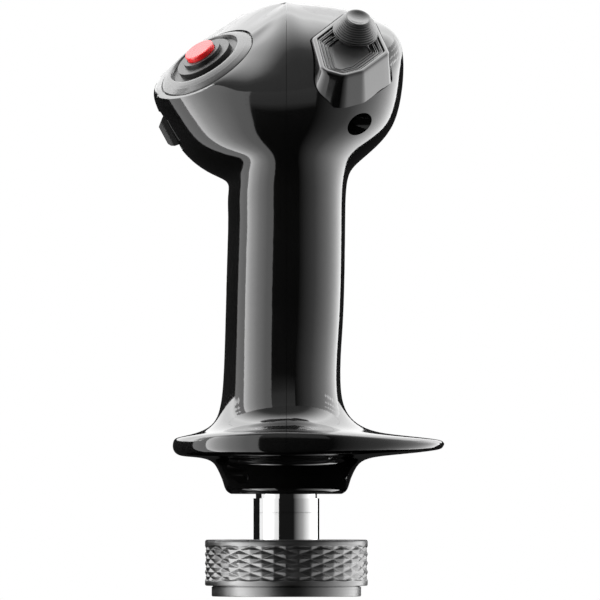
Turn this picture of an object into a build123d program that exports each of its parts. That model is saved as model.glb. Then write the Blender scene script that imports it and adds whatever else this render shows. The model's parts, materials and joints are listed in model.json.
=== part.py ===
from build123d import *
import os

import numpy as np

os.makedirs("parts", exist_ok=True)

# Flight joystick grip, millimetres. The origin is on the mounting tube's axis, in the bottom
# face of the ring nut. +X is the pilot's right, +Y points forward and +Z is up.

# ---------------------------------------------------------------- driving dimensions
COLLAR_BOTTOM = 36.9        # lowest plane of the two moulded shells
GRIP_TOP = 213.8
WALL = 2.6                  # moulded wall of the neck and the head
CAVITY_HEIGHTS = (67, 76, 95, 120, 140, 149, 155, 161, 168, 177, 186, 194, 200, 204)
CAVITY_POINTS = 16          # around each outline of the hollow
MAX_INSET = 8.0

TUBE_R = 11.85
TUBE_NECK_R = 11.0
TUBE_BORE_R = 9.0
TUBE_SHOULDER = 35.3
TUBE_TOP = 78.0
FOOT_R = 16.4
FOOT_BOTTOM = 12.4
FOOT_TOP = 16.0
KEY_Y = -14.2
CROSS_PIN_R = 2.0
CROSS_PIN_Z = 56.0

RING_R = 29.3
RING_TOP = 20.4
RING_STEP_R = 26.9
RING_STEP_TOP = 3.8
RING_LIP_BOTTOM = 16.6
RING_THREAD_R = 16.92       # minor radius of the M36 x 2 thread
RING_THREAD_LENGTH = 9.2
RING_UNDERCUT_R = 17.7
RING_LIP_BORE_R = 12.6
O_RING_HALF_HEIGHT = 1.7
O_RING_SQUEEZE = 0.03

SCREW_R = 1.5
SCREW_HEAD_R = 2.8
SCREW_HEAD_HEIGHT = 2.6
INSERT_R = 2.2
INSERT_LENGTH = 5.7
INSERT_DEPTH = 1.2          # seam face to the insert's near end
BOSS_R = 5.2

DISC_R = 18.6               # button bezel
DISC_GAP = 0.4
DISC_RECESS = 2.1
BUTTON_R = 5.6

HAT_GAP = 0.3
HAT_RIM_HEIGHT = 2.4        # rim above the dish floor
HAT_RIM_LAND = 1.9
HAT_STEP_WIDTH = 1.4
HAT_STEP_COUNT = 3
HAT_BEZEL_BOTTOM = -10.0
HAT_PIVOT = -6.2            # gimbal centre, along the hat's axis

TRIGGER_LENGTH = 11.4
TRIGGER_HEIGHT = 4.4
TRIGGER_WIDTH = 9.6

# local frames: the origin, the direction of local x, the outward normal
BUTTON_FRAME = Plane((-28.4, -6.5, 191.7), x_dir=(0.846, 0, 0.533), z_dir=(-0.49, -0.385, 0.78))
HAT_FRAME = Plane((24.1, -11.6, 200.0), x_dir=(0.968, 0.25, 0), z_dir=(0.16, -0.62, 0.768))
TRIGGER_FRAME = Plane((-40.6, 3.0, 168.3), x_dir=(0.474, 0, -0.88), z_dir=(-0.88, 0, -0.474))


# ---------------------------------------------------------------- the grip's outer surface
# One row per level, from the collar's lower edge to the crown. Each level is a closed curve
# around the tube axis, given by (radius, height) at the back (-Y), right (+X), front (+Y) and
# left (-X). Between two of them it is an ellipse, times the level's fullness where one is given.
ROUND = (1, 1, 1, 1)
LEVELS = [
    # collar cone
    ((20.0, 36.9), (20.0, 36.9), (20.0, 36.9), (20.0, 36.9), ROUND),
    ((21.7, 38.2), (21.7, 38.2), (21.7, 38.2), (21.7, 38.2), ROUND),
    ((23.0, 41.7), (23.0, 41.7), (23.0, 41.7), (23.0, 41.7), ROUND),
    ((24.7, 45.6), (24.7, 45.6), (24.7, 45.6), (24.7, 45.6), ROUND),
    ((26.3, 47.9), (26.5, 48.0), (26.5, 48.0), (26.2, 47.9), ROUND),
    # underside of the hand rest
    ((29.2, 49.5), (30.4, 49.8), (29.6, 49.6), (29.0, 49.4), ROUND),
    ((33.0, 50.4), (41.5, 51.2), (35.5, 50.5), (34.4, 50.2), ROUND),
    # rim of the hand rest
    ((36.9, 51.0), (54.8, 52.9), (41.8, 51.2), (39.2, 51.1), ROUND),
    ((38.0, 52.2), (56.3, 53.8), (43.0, 52.4), (40.5, 52.4), ROUND),
    ((38.3, 55.0), (56.8, 54.8), (43.3, 54.6), (40.9, 54.2), ROUND),
    ((38.0, 58.2), (56.3, 55.7), (43.0, 57.0), (40.4, 56.3), ROUND),
    ((36.9, 59.4), (54.6, 56.4), (41.7, 58.1), (39.0, 57.2), ROUND),
    # top of the hand rest and its fillet into the neck
    ((32.6, 60.7), (42.0, 57.9), (35.8, 59.3), (34.4, 58.3), ROUND),
    ((28.6, 62.4), (31.0, 59.7), (31.4, 61.2), (29.0, 60.3), ROUND),
    ((25.6, 65.3), (24.8, 62.8), (28.4, 64.2), (25.6, 63.4), ROUND),
    ((23.8, 69.5), (21.5, 66.9), (26.8, 69.0), (23.9, 67.9), ROUND),
    # neck
    ((22.7, 76.0), (19.8, 73.0), (25.8, 76.0), (23.0, 74.0), ROUND),
    ((21.9, 86.0), (19.5, 84.0), (25.0, 86.0), (22.4, 84.0), ROUND),
    ((21.6, 101.0), (20.4, 100.0), (24.8, 101.0), (21.9, 100.0), ROUND),
    ((21.6, 120.0), (21.0, 120.0), (25.0, 118.0), (21.4, 119.0), ROUND),
    ((22.0, 138.0), (21.2, 137.0), (25.8, 134.0), (21.0, 136.0), ROUND),
    # underside of the head
    ((23.2, 149.0), (21.5, 146.0), (26.8, 142.0), (21.0, 144.2), ROUND),
    ((25.6, 156.0), (22.8, 152.5), (29.0, 147.6), (21.4, 149.2), ROUND),
    ((28.6, 162.0), (26.5, 157.2), (33.5, 151.6), (27.0, 152.4), ROUND),
    ((30.6, 168.0), (32.2, 162.2), (39.2, 158.0), (34.4, 157.5), ROUND),
    # widest part of the head
    ((30.9, 174.0), (37.8, 169.2), (43.2, 167.5), (40.4, 165.0), ROUND),
    ((29.8, 181.5), (41.0, 180.0), (44.6, 178.0), (46.0, 175.5), ROUND),
    ((26.9, 188.5), (41.8, 191.6), (43.6, 188.0), (46.9, 181.0), ROUND),
    # crown
    ((22.8, 196.0), (39.8, 201.2), (40.3, 197.0), (44.6, 185.0), (0.98, 1, 1.02, 0.95)),
    ((18.0, 202.6), (34.0, 206.6), (34.0, 205.0), (38.3, 189.8), (0.98, 1, 1.06, 0.93)),
    ((12.7, 207.9), (26.0, 210.1), (25.0, 210.3), (29.5, 197.0), (0.98, 1, 1.10, 0.93)),
    ((7.4, 211.5), (15.6, 212.4), (14.0, 212.8), (16.5, 206.0), (0.98, 1, 1.10, 0.95)),
    ((0.0, GRIP_TOP), (0.0, GRIP_TOP), (0.0, GRIP_TOP), (0.0, GRIP_TOP), ROUND),
]
FULLNESS_LIFT = 22.0        # mm that a diagonal rises for each unit of fullness above 1
FIRST_NECK_LEVEL = 15       # the hand rest ends here


def second_derivatives(x, y, closed):
    """Second derivatives at the knots of the cubic spline y(x), natural or closed."""
    count = len(x)
    step = np.diff(x)
    matrix = np.zeros((count, count))
    right = np.zeros(y.shape)
    for i in range(1, count - 1):
        matrix[i, i - 1:i + 2] = step[i - 1], 2 * (step[i - 1] + step[i]), step[i]
        right[i] = 6 * ((y[i + 1] - y[i]) / step[i] - (y[i] - y[i - 1]) / step[i - 1])
    if closed:
        matrix[0, 0], matrix[0, 1], matrix[0, -2] = 2 * (step[0] + step[-1]), step[0], step[-1]
        right[0] = 6 * ((y[1] - y[0]) / step[0] - (y[0] - y[-2]) / step[-1])
        matrix[-1, 0], matrix[-1, -1] = 1, -1
    else:
        matrix[0, 0] = matrix[-1, -1] = 1
    return np.linalg.solve(matrix, right.reshape(count, -1)).reshape(y.shape)


def spline(x, y, query, closed=False):
    """The cubic spline through y(x), at each query value, along the first index."""
    curve = second_derivatives(x, y, closed)
    i = np.clip(np.searchsorted(x, query, side="right") - 1, 0, len(x) - 2)
    step = (x[i + 1] - x[i]).reshape((-1,) + (1,) * (y.ndim - 1))
    a = (x[i + 1] - query).reshape(step.shape) / step
    b = 1 - a
    bend = ((a**3 - a) * curve[i] + (b**3 - b) * curve[i + 1]) * step**2 / 6
    return a * y[i] + b * y[i + 1] + bend


def level_points(level):
    """(radius, height) of one level every 45 degrees, from the back round by the right."""
    ring = []
    for i in range(4):
        (r0, z0), (r1, z1) = level[i], level[(i + 1) % 4]
        full = level[4][i]
        ring.append((r0, z0))
        if r0 == 0:
            ring.append((0, z0))
        else:
            lift = FULLNESS_LIFT * max(full - 1, 0)
            ring.append((full * np.sqrt(2 / (r0**-2 + r1**-2)), (z0 + z1) / 2 + lift))
    return ring + ring[:1]


def smooth(value):
    """0 below 0, 1 above 1, and an even curve between."""
    value = np.clip(value, 0, 1)
    return value**3 * (10 - 15 * value + 6 * value**2)


def local(frame, points):
    """Coordinates of the points in a local frame."""
    axes = np.array([tuple(frame.x_dir), tuple(frame.y_dir), tuple(frame.z_dir)])
    return (points - np.array(tuple(frame.origin))) @ axes.T


def seat_button(points):
    """Flatten the shoulder on the left into the plane that the round bezel lies in."""
    u, v, h = np.moveaxis(local(BUTTON_FRAME, points), -1, 0)
    width = 7.0 + 13.0 * smooth((h + 2.0) / 4.0)
    over = h - 0.6 * smooth(h / 2.0)
    near = 1 - smooth((np.hypot(u, v) - 19.4) / width)
    near = near * smooth((14.0 - points[..., 0]) / 20.0) * (1 - smooth((np.abs(h) - 3.0) / 9.0))
    return points - (near * over)[..., None] * np.array(tuple(BUTTON_FRAME.z_dir))


def seat_hat(points):
    """Ease the shoulder on the right down to the rim of the hat's surround."""
    u, v, h = np.moveaxis(local(HAT_FRAME, points), -1, 0)
    reach = np.hypot((u + 2.5) / 15.5, (v + 4.0) / 20.5)
    near = 1 - smooth((reach - 0.9) / 1.1)
    near = near * smooth((points[..., 0] + 12.0) / 24.0) * (1 - smooth((np.abs(h) - 6.0) / 12.0))
    over = h - 1.2
    excess = (over + np.sqrt(over**2 + 2.0)) / 2
    return points - (near * excess)[..., None] * np.array(tuple(HAT_FRAME.z_dir))


def level_parameters(rings):
    """A parameter for each level, by the root of the mean distance from the last."""
    gaps = np.linalg.norm(np.diff(rings[:, :8], axis=0), axis=2).mean(axis=1)
    steps = np.concatenate([[0], np.cumsum(np.sqrt(gaps))])
    return steps / steps[-1]


RINGS = np.array([level_points(level) for level in LEVELS])
PARAMETERS = level_parameters(RINGS)


def skin_points(heights, azimuths):
    """Points of the outer surface; heights are in level parameters, azimuths from the back."""
    profiles = np.moveaxis(spline(PARAMETERS, RINGS, heights), 1, 0)
    around = spline(np.linspace(0, 2 * np.pi, 9), profiles, np.mod(azimuths, 2 * np.pi), True)
    radius, height = around[..., 0], around[..., 1]
    turn = azimuths[:, None]
    points = np.stack([radius * np.sin(turn), -radius * np.cos(turn), height], axis=-1)
    return seat_hat(seat_button(points))


def skinned_solid(points):
    """Close a grid of points, from a flat lower edge to one point on top, into a solid."""
    rows = [[Vector(*point) for point in row] for row in points.tolist()]
    skin = Face.make_surface_from_array_of_points(rows, tol=0.01, min_deg=3, max_deg=8)
    bottom = [edge for edge in skin.edges() if edge.bounding_box().size.Z < 0.1]
    sides = [edge for edge in skin.edges() if edge.bounding_box().size.Z > 0.1]
    chord = Edge.make_line(Vector(*points[0, 0]), Vector(*points[-1, 0]))
    base = Face(Wire(bottom + [chord]))
    seam = Face(Wire(sides + [chord]))
    return Solid(Shell([skin, base, seam]))


def half_grip(side):
    """The solid right (side 1) or left (side -1) half of the outer form."""
    heights = np.linspace(0, 1, 121)
    azimuths = np.linspace(0, side * np.pi, 41)
    points = skin_points(heights, azimuths)
    points[0, :, 0] = points[-1, :, 0] = 0
    points[:, 0, 2] = COLLAR_BOTTOM
    points[:, -1] = (0, 0, GRIP_TOP)
    return skinned_solid(points)


def cavity_section(height):
    """The hollow's outline at one height: the outer surface less the wall."""
    azimuths = np.arange(CAVITY_POINTS) * 2 * np.pi / CAVITY_POINTS
    points = skin_points(np.linspace(PARAMETERS[FIRST_NECK_LEVEL - 1], 1, 300), azimuths)
    outline = []
    for profile in points:
        radius = np.hypot(profile[:, 0], profile[:, 1])
        spread = np.interp([height - 0.5, height, height + 0.5], profile[:, 2], radius)
        inset = min(WALL * np.hypot(1, spread[2] - spread[0]), MAX_INSET)
        x, y = [np.interp(height, profile[:, 2], profile[:, i]) for i in (0, 1)]
        keep = 1 - inset / spread[1]
        outline.append((x * keep, y * keep, height))
    return Wire([Edge.make_spline([Vector(*point) for point in outline], periodic=True)])


def cavity():
    """The hollow in the neck and head."""
    return Solid.make_loft([cavity_section(height) for height in CAVITY_HEIGHTS], ruled=True)


# ---------------------------------------------------------------- small shape helpers
def turned(*outline):
    """A solid of revolution about local Z from (radius, height) points."""
    section = make_face(Polyline(*[(r, 0, z) for r, z in outline], close=True))
    return revolve(section, Axis.Z)


def rod(radius, bottom, top, x=0.0, y=0.0):
    """A cylinder along local Z."""
    return Pos(x, y, (bottom + top) / 2) * Cylinder(radius, top - bottom)


def rod_x(radius, low, high, y, z):
    """A cylinder along X."""
    return Pos((low + high) / 2, y, z) * Rot(0, 90, 0) * Cylinder(radius, high - low)


def rod_y(radius, low, high, x, z):
    """A cylinder along Y."""
    return Pos(x, (low + high) / 2, z) * Rot(90, 0, 0) * Cylinder(radius, high - low)


def block(x_range, y_range, z_range, corner=0.0):
    """A box between limits, with its upright edges rounded."""
    size = [high - low for low, high in (x_range, y_range, z_range)]
    middle = [(high + low) / 2 for low, high in (x_range, y_range, z_range)]
    if corner == 0:
        return Pos(*middle) * Box(*size)
    return Pos(middle[0], middle[1], z_range[0]) * extrude(
        RectangleRounded(size[0], size[1], corner), size[2])


def coil(radius, wire, bottom, top, turns):
    """A compression spring about local Z."""
    low, high = bottom + wire, top - wire
    path = Helix((high - low) / turns, high - low, radius)
    start = Plane(path @ 0, z_dir=path % 0)
    return Pos(0, 0, low) * sweep(start * Circle(wire), path)


def ring_of(outer, inner, bottom, top):
    """A plain ring about local Z."""
    return rod(outer, bottom, top) - rod(inner, bottom - 1, top + 1)


# ---------------------------------------------------------------- hat switch outline
# Corners of the rim in the hat's frame, anticlockwise from the left, each with its radius.
HAT_CORNERS = [
    (-16.0, -1.4, 2.6), (-16.3, -20.3, 4.0), (-8.6, -23.9, 4.5), (-0.8, -20.9, 4.5),
    (11.2, -9.9, 3.0), (9.2, 10.4, 3.5), (1.0, 15.1, 4.5),
]


def hat_outline(grow, height):
    """The rim outline, grown outwards or, if negative, inwards, as a face at a height."""
    corners = np.array([corner[:2] for corner in HAT_CORNERS])
    after = np.roll(corners, -1, axis=0) - corners
    after /= np.linalg.norm(after, axis=1, keepdims=True)
    before = np.roll(after, 1, axis=0)
    outward = np.stack([after[:, 1], -after[:, 0]], axis=1)
    outward_before = np.roll(outward, 1, axis=0)
    mitre = (outward + outward_before) / (1 + (outward * outward_before).sum(axis=1))[:, None]
    moved = corners + grow * mitre
    radii = [max(corner[2] + grow, 1.0) for corner in HAT_CORNERS]
    points = [(float(x), float(y), height) for x, y in moved]
    return make_face(FilletPolyline(*points, radius=radii, close=True))


def hat_prism(*sections):
    """A solid through (grow, height) outlines."""
    return loft([hat_outline(grow, height) for grow, height in sections], ruled=True)


# ---------------------------------------------------------------- screws that close the shells
# Side of the head (1 right, -1 left), y and z where the axis crosses the seam, tilt of the axis
# towards the pilot in degrees, distance from the seam to the head's seat, and the radius of the
# hole that the head goes in by.
SHELL_SCREWS = [
    (1, -17.3, 169.7, 8, 14.0, 4.0),
    (1, 36.5, 176.0, 0, 12.0, 3.8),
    (1, 6.0, 106.4, 0, 13.5, 3.4),
]
COLLAR_SCREWS = [(-1, -16.0, 44.1, 0, 11.5, 3.4), (-1, 16.0, 44.1, 0, 11.5, 3.4)]
BOSS_END = INSERT_DEPTH + INSERT_LENGTH + 1.6
RIB = 1.2                   # half thickness
BOARD_SCREWS = [(-9.0, 162.0), (16.0, 172.0)]
BOARD_X = (-13.6, -12.0)


def screw_frame(side, y, z, tilt):
    """A screw's frame: its origin in the seam, its Z out through the head."""
    angle = np.radians(tilt)
    out = (side * float(np.cos(angle)), -float(np.sin(angle)), 0)
    return Plane((0, y, z), x_dir=(0, 0, 1), z_dir=out)


def screw(side, y, z, tilt, seat):
    """A cap screw with a cross recess."""
    body = rod(SCREW_R, 0.6 - INSERT_DEPTH - INSERT_LENGTH, seat)
    body += rod(SCREW_HEAD_R, seat, seat + SCREW_HEAD_HEIGHT)
    depth = (seat + 1.2, seat + SCREW_HEAD_HEIGHT + 1)
    body -= block((-0.35, 0.35), (-1.5, 1.5), depth)
    body -= block((-1.5, 1.5), (-0.35, 0.35), depth)
    return screw_frame(side, y, z, tilt) * body


def insert(side, y, z, tilt):
    """A brass insert in the shell opposite the screw's head."""
    body = ring_of(INSERT_R, SCREW_R, -INSERT_DEPTH - INSERT_LENGTH, -INSERT_DEPTH)
    return screw_frame(side, y, z, tilt) * body


def screw_boss(half, side, y, z, tilt):
    """Material round a screw in one half: a tube to the wall, or a short boss on a rib."""
    if half == side:
        return screw_frame(side, y, z, tilt) * rod(BOSS_R, -4, 60)
    boss = screw_frame(side, y, z, tilt) * rod(BOSS_R, -BOSS_END, 4)
    x_range = (-BOSS_END, 0) if side > 0 else (0, BOSS_END)
    y_range = (y, 60) if y > 0 else (-60, y)
    return boss + block(x_range, y_range, (z - RIB, z + RIB))


def screw_holes(half, side, y, z, tilt, seat, hole):
    """What a screw takes out of one half."""
    if half == side:
        cut = rod(SCREW_R + 0.15, -4, seat + 1) + rod(hole, seat, 60)
    else:
        end = -INSERT_DEPTH - INSERT_LENGTH
        cut = rod(SCREW_R + 0.15, -INSERT_DEPTH, 4) + rod(INSERT_R, end, -INSERT_DEPTH)
    return screw_frame(side, y, z, tilt) * cut


# ---------------------------------------------------------------- the two shells
def shell(half, hollow):
    """One moulded half: wall, bosses, hand rest and the openings for its controls."""
    form = half_grip(half)
    inner = [screw_boss(half, *row[:4]) for row in SHELL_SCREWS]
    cuts = [rod(TUBE_NECK_R, COLLAR_BOTTOM - 1, TUBE_TOP + 1),
            rod_x(CROSS_PIN_R, -17, 17, 0, CROSS_PIN_Z)]
    if half > 0:
        support = hat_prism((3.0, -13.0), (3.0, -8.0)) - hat_prism((-2.4, -14.0), (-2.4, -7.0))
        inner.append(HAT_FRAME * support)
        draft = hat_prism((3.0 + HAT_GAP, HAT_BEZEL_BOTTOM), (-2.2 + HAT_GAP, 12.0))
        cuts.append(HAT_FRAME * draft)
    else:
        inner.append(BUTTON_FRAME * rod(DISC_R + 2.4, -6.0, 1.0))
        for y, z in BOARD_SCREWS:
            inner.append(rod_x(3.0, -45, BOARD_X[0], y, z))
            cuts.append(rod_x(1.0, BOARD_X[0] - 6, BOARD_X[0] + 1, y, z))
        cuts.append(BUTTON_FRAME * rod(DISC_R + DISC_GAP, -DISC_RECESS, 14.0))
        cuts.append(BUTTON_FRAME * rod(8.1, -7.0, 0.0))
        cuts.append(TRIGGER_FRAME * block((-8.0, 8.0), (-7.5, 7.5), (-13.0, 8.0), 3.2))
    cuts += [screw_holes(half, *row) for row in SHELL_SCREWS + COLLAR_SCREWS]
    body = form - hollow
    for piece in inner:
        body += form & piece
    for cut in cuts:
        body -= cut
    return body


# ---------------------------------------------------------------- tube, foot and ring nut
def mount_tube():
    """Steel tube: a shoulder under the collar, and a narrower end inside the grip."""
    tube = turned((TUBE_BORE_R, FOOT_BOTTOM), (TUBE_R, FOOT_BOTTOM), (TUBE_R, TUBE_SHOULDER),
                  (TUBE_NECK_R, TUBE_SHOULDER), (TUBE_NECK_R, TUBE_TOP), (TUBE_BORE_R, TUBE_TOP))
    return tube - rod_x(CROSS_PIN_R, -20, 20, 0, CROSS_PIN_Z)


def ring_nut():
    """Clamping nut: a threaded lower bore, and a lip that bears on the tube's foot."""
    return turned(
        (RING_THREAD_R, 0), (RING_STEP_R - 0.4, 0), (RING_STEP_R, 0.4),
        (RING_STEP_R, RING_STEP_TOP), (RING_R - 0.5, RING_STEP_TOP), (RING_R, RING_STEP_TOP + 0.5),
        (RING_R, RING_TOP - 0.7), (RING_R - 0.7, RING_TOP), (RING_LIP_BORE_R, RING_TOP),
        (RING_LIP_BORE_R, RING_LIP_BOTTOM), (RING_UNDERCUT_R, RING_LIP_BOTTOM),
        (RING_UNDERCUT_R, RING_THREAD_LENGTH), (RING_THREAD_R, RING_THREAD_LENGTH))


def ring_o_ring():
    """Rubber ring that drags on the tube and carries the nut's lip."""
    middle = RING_LIP_BOTTOM + 2.0
    return ring_of(RING_LIP_BORE_R - O_RING_SQUEEZE, TUBE_R + O_RING_SQUEEZE,
                   middle - O_RING_HALF_HEIGHT, middle + O_RING_HALF_HEIGHT)


def connector_socket():
    """Plastic insert that closes the tube's lower end and holds the contacts."""
    body = rod(TUBE_BORE_R, FOOT_BOTTOM + 0.2, 24.0) - rod(7.2, FOOT_BOTTOM, 15.0)
    for pin in connector_pins():
        body -= pin
    return body


def connector_pins():
    """Contacts: five in a circle."""
    return [Pos(4.0 * np.cos(k * 2 * np.pi / 5), 4.0 * np.sin(k * 2 * np.pi / 5), 0)
            * rod(0.5, 13.3, 23.0) for k in range(5)]


# ---------------------------------------------------------------- red button
BUTTON_BASE = 1.2
STEM_END = -5.2
WEB_TOP = -1.8
WEB_BOTTOM = -3.4
BARREL_R = 8.0
BARREL_END = -11.0


def button_bezel():
    """Convex ring round the button, with a bowl inside it."""
    crown = [(17.9, 0.75), (16.9, 1.45), (15.8, 2.0), (14.8, 2.42), (14.2, 2.55), (13.8, 2.45)]
    return turned((13.2, -2.0), (DISC_R, -2.0), (DISC_R, 0.05), (18.4, 0.35), *crown,
                  (13.4, 1.6), (13.2, 1.0))


def button_collar():
    """Two terraces round the button, on a barrel that holds its switch."""
    return turned(
        (BUTTON_R + 0.15, 4.75), (7.4, 4.75), (7.5, 4.65), (7.5, 3.2), (10.5, 3.2), (10.6, 3.1),
        (10.6, 1.0), (13.1, 1.0), (13.1, -2.0), (BARREL_R, -2.0), (BARREL_R, BARREL_END),
        (6.6, BARREL_END), (6.6, WEB_BOTTOM), (2.1, WEB_BOTTOM), (2.1, WEB_TOP),
        (BUTTON_R + 0.15, WEB_TOP))


def red_button():
    """Cap with a rounded edge, a spring pocket under it, and a stem."""
    return turned(
        (0, 6.7), (4.9, 6.7), (5.3, 6.6), (5.53, 6.35), (BUTTON_R, 6.0), (BUTTON_R, BUTTON_BASE),
        (4.2, BUTTON_BASE), (4.2, 5.0), (2.0, 5.0), (2.0, STEM_END), (0, STEM_END))


def button_switch():
    """Switch body with its plunger under the button's stem."""
    return block((-4.2, 4.2), (-4.2, 4.2), (BARREL_END, -7.4)) + rod(1.5, -7.4, -6.9)


# ---------------------------------------------------------------- hat switch
HAT_BASE_R = 8.2
HAT_TOP_R = 4.65
HAT_SKIRT = 3.65            # underside of the hat above the dish floor
HAT_NECK_R = 5.6            # neck under the skirt, down to NECK_FOOT
NECK_FOOT = 1.3
HAT_WELL_R = 6.8            # well in the dish that the neck moves in
HAT_TOP = 10.7
HAT_RIDGES = 11
STEM_R = 1.85
PLATE_TOP = -1.7
PLATE_BOTTOM = -3.4
BASE_TOP = -11.4
BASE_BOTTOM = -12.8
HAT_POSTS = [(-6.0, -8.0), (5.0, -8.3)]


def hat_cap():
    """Ridged cone with a hollow crown, and a blind bore for the stem."""
    outline = [(STEM_R + 0.05, NECK_FOOT), (HAT_NECK_R, NECK_FOOT), (HAT_NECK_R, HAT_SKIRT),
               (HAT_BASE_R, HAT_SKIRT), (HAT_BASE_R, HAT_SKIRT + 0.5)]
    rise = (HAT_TOP - HAT_SKIRT - 1.0) / HAT_RIDGES
    shrink = (HAT_BASE_R - HAT_TOP_R - 0.2) / HAT_RIDGES
    for k in range(HAT_RIDGES):
        r = HAT_BASE_R - k * shrink
        z = HAT_SKIRT + 0.5 + k * rise
        outline += [(r - 0.3, z + 0.12 * rise), (r - 0.34, z + 0.45 * rise),
                    (r - 0.05, z + 0.75 * rise)]
    outline += [(HAT_TOP_R, HAT_TOP - 0.4), (HAT_TOP_R - 0.25, HAT_TOP - 0.05),
                (HAT_TOP_R - 0.7, HAT_TOP)]
    outline += [(3.0, HAT_TOP - 0.5), (1.5, HAT_TOP - 0.85), (0, HAT_TOP - 0.95)]
    return turned(*outline, (0, 8.6), (STEM_R + 0.05, 8.6))


def hat_stem():
    """Stem with a cross shaft that turns in the gimbal."""
    body = rod(STEM_R, HAT_PIVOT - 2.4, 8.0)
    body += block((-2.2, 2.2), (-2.2, 2.2), (HAT_PIVOT - 1.8, HAT_PIVOT + 1.8))
    return body + rod_y(0.8, -4.4, 4.4, 0, HAT_PIVOT)


def hat_gimbal():
    """Square frame with outer pins along local X and bores along local Y."""
    low, high = HAT_PIVOT - 1.7, HAT_PIVOT + 1.7
    body = block((-4.6, 4.6), (-4.6, 4.6), (low, high))
    body -= block((-3.2, 3.2), (-3.2, 3.2), (low - 1, high + 1))
    body -= rod_y(0.85, -6, 6, 0, HAT_PIVOT)
    body += rod_x(1.0, -7.4, -4.0, 0, HAT_PIVOT)
    return body + rod_x(1.0, 4.0, 7.4, 0, HAT_PIVOT)


def hat_base():
    """Plate with two lugs for the gimbal and two posts up to the surround."""
    body = block((-8.6, 7.4), (-11.0, 3.4), (BASE_BOTTOM, BASE_TOP), 2.0)
    for low, high in ((-7.4, -5.6), (5.6, 7.4)):
        body += block((low, high), (-2.4, 2.4), (BASE_TOP, HAT_PIVOT + 2.0))
    body -= rod_x(1.05, -12, 12, 0, HAT_PIVOT)
    for x, y in HAT_POSTS:
        body += rod(2.4, BASE_TOP, PLATE_BOTTOM, x, y)
        body -= rod(1.0, BASE_BOTTOM - 1, PLATE_BOTTOM + 1, x, y)
    return body


def hat_screws():
    """Two screws that hold the hat's base to its surround."""
    return [rod(1.0, BASE_BOTTOM, PLATE_TOP - 0.3, x, y)
            + rod(1.9, BASE_BOTTOM - 1.4, BASE_BOTTOM, x, y) for x, y in HAT_POSTS]


def hat_bezel():
    """Glossy surround: drafted outer wall, rounded rim, and a floor under the dish."""
    body = hat_prism((3.0, HAT_BEZEL_BOTTOM), (0.12, 1.5), (0.0, 1.95), (-0.2, 2.25),
                     (-0.55, HAT_RIM_HEIGHT))
    body -= hat_prism((-HAT_RIM_LAND, PLATE_TOP), (-HAT_RIM_LAND, 1.9), (-1.55, 2.6))
    body -= hat_prism((-2.2, HAT_BEZEL_BOTTOM - 1), (-2.2, PLATE_BOTTOM))
    body -= rod(3.6, PLATE_BOTTOM - 1, PLATE_TOP + 1)
    for x, y in HAT_POSTS:
        body -= rod(1.0, PLATE_BOTTOM - 1, PLATE_TOP - 0.3, x, y)
    return body


def hat_dish():
    """Matte dish, stepped down to its floor."""
    edge = HAT_RIM_LAND + 0.03
    rise = HAT_RIM_HEIGHT / (HAT_STEP_COUNT + 1)
    body = hat_prism((-edge, PLATE_TOP), (-edge, HAT_STEP_COUNT * rise))
    for k in range(1, HAT_STEP_COUNT + 1):
        inner = edge + k * HAT_STEP_WIDTH
        body -= hat_prism((-inner, (HAT_STEP_COUNT - k) * rise), (-inner, HAT_RIM_HEIGHT + 1))
    return body - rod(3.6, PLATE_TOP - 1, 1) - rod(HAT_WELL_R, 0, HAT_RIM_HEIGHT + 1)


# ---------------------------------------------------------------- trigger
TRIGGER_BOTTOM = -5.0
TRIGGER_PIVOT = (-4.2, -3.2)
HOUSING_BOTTOM = -11.0
HOUSING_FLOOR = -9.6
HOUSING_TOP = 0.9
TRIGGER_RIDGES = 5


def trigger():
    """Finger cap with ridges along it, a sloped upper end and a rounded lower end."""
    half = TRIGGER_WIDTH / 2
    length = TRIGGER_LENGTH / 2
    pitch = (TRIGGER_WIDTH - 1.2) / TRIGGER_RIDGES
    across = [(-half, TRIGGER_BOTTOM), (-half, 2.6)]
    for k in range(TRIGGER_RIDGES):
        y = -half + 0.6 + (k + 0.5) * pitch
        crown = TRIGGER_HEIGHT - 1.3 * (y / half)**2
        across += [(y - 0.38 * pitch, crown - 0.75), (y - 0.22 * pitch, crown),
                   (y + 0.22 * pitch, crown), (y + 0.38 * pitch, crown - 0.75)]
    across += [(half, 2.6), (half, TRIGGER_BOTTOM)]
    section = make_face(Polyline(*[(-length - 1, y, z) for y, z in across], close=True))
    body = extrude(section, 2 * length + 2, dir=(1, 0, 0))
    side = [(-length, TRIGGER_BOTTOM), (-length, 1.4), (-length + 2.6, TRIGGER_HEIGHT + 0.1),
            (length - 2.2, TRIGGER_HEIGHT + 0.1), (length - 0.9, 3.7), (length - 0.2, 2.5),
            (length, 1.2), (length, TRIGGER_BOTTOM)]
    outline = make_face(Polyline(*[(x, -half - 1, z) for x, z in side], close=True))
    body &= extrude(outline, TRIGGER_WIDTH + 2, dir=(0, 1, 0))
    return body - rod_y(0.95, -half - 1, half + 1, *TRIGGER_PIVOT)


def trigger_spring():
    """Return spring between the housing's floor and the cap."""
    return coil(1.5, 0.2, HOUSING_FLOOR, TRIGGER_BOTTOM, 4)


def trigger_housing():
    """Rounded pocket that the trigger swings in."""
    body = block((-7.8, 7.8), (-7.3, 7.3), (HOUSING_BOTTOM, HOUSING_TOP), 3.0)
    body -= block((-6.1, 6.5), (-5.1, 5.1), (HOUSING_FLOOR, HOUSING_TOP + 1), 0.8)
    return body - rod_y(0.9, -6.7, 6.7, *TRIGGER_PIVOT)


def trigger_microswitch():
    """Switch body with its plunger under the trigger's lower end."""
    body = block((-0.4, 6.2), (-2.6, 2.6), (HOUSING_FLOOR, -7.0))
    return body + rod(0.8, -7.0, -6.5, 3.6, 0)


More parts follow.
